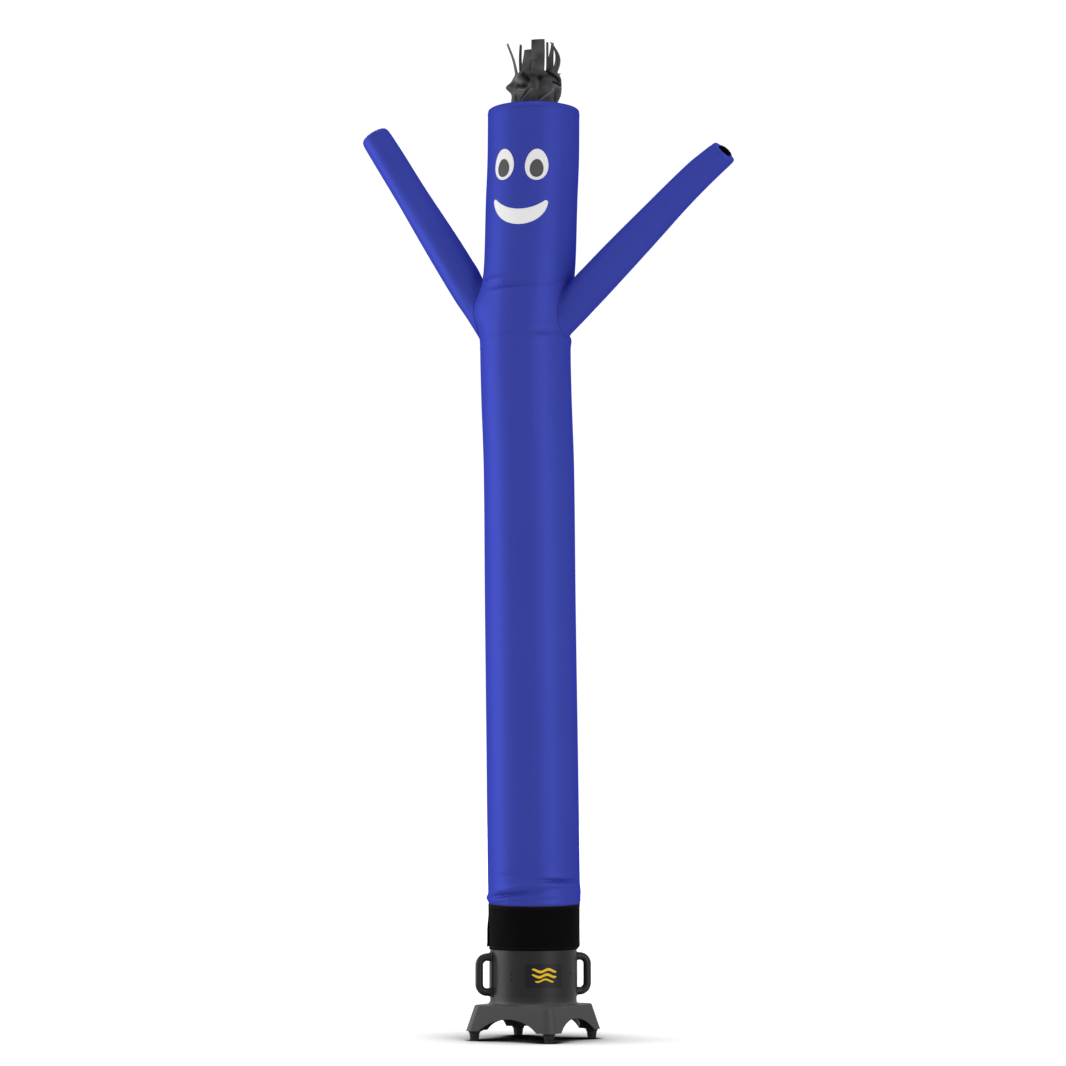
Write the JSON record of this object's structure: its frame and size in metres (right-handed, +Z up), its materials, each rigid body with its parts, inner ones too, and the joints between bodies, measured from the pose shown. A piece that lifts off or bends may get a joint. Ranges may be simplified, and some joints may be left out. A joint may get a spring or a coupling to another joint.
{
  "type": "inflatable air dancer",
  "caption": "Tall inflated cloth tube figure with a smiling face, raised arms and cut-strip hair, sewn to a collar on a moulded fan base with feet and handles.",
  "frame": {"origin": "on the ground, in the middle of the whole figure's bounding box", "axes": "+Z up along the figure, the face looks along -Y, the arms reach out along -X and +X"},
  "size_m": [1.3176, 0.406, 3.352],
  "materials": {
    "blue_cloth": "satin",
    "black_cloth": "satin",
    "collar": "matte",
    "white_patch": "matte",
    "grey_patch": "matte",
    "housing": "satin",
    "label": "satin",
    "foot": "matte",
    "screw": "satin"
  },
  "bodies": {
    "root": {"housing": "housing", "handle_left": "housing", "handle_right": "housing", "foot_rear": "foot", "foot_left": "foot", "foot_front": "foot", "foot_right": "foot", "label_plate": "label", "screw_left_high": "screw", "screw_left_low": "screw", "screw_right": "screw", "cable_gland": "foot", "collar": "collar", "body_tube": "blue_cloth", "chest_panel": "blue_cloth", "head_panel": "blue_cloth", "top_panel": "blue_cloth", "arm_left": "blue_cloth", "arm_right": "blue_cloth", "eye_white_left": "white_patch", "eye_white_right": "white_patch", "pupil_left": "grey_patch", "pupil_right": "grey_patch", "mouth": "white_patch", "hair": "black_cloth"}
  },
  "joints": []
}
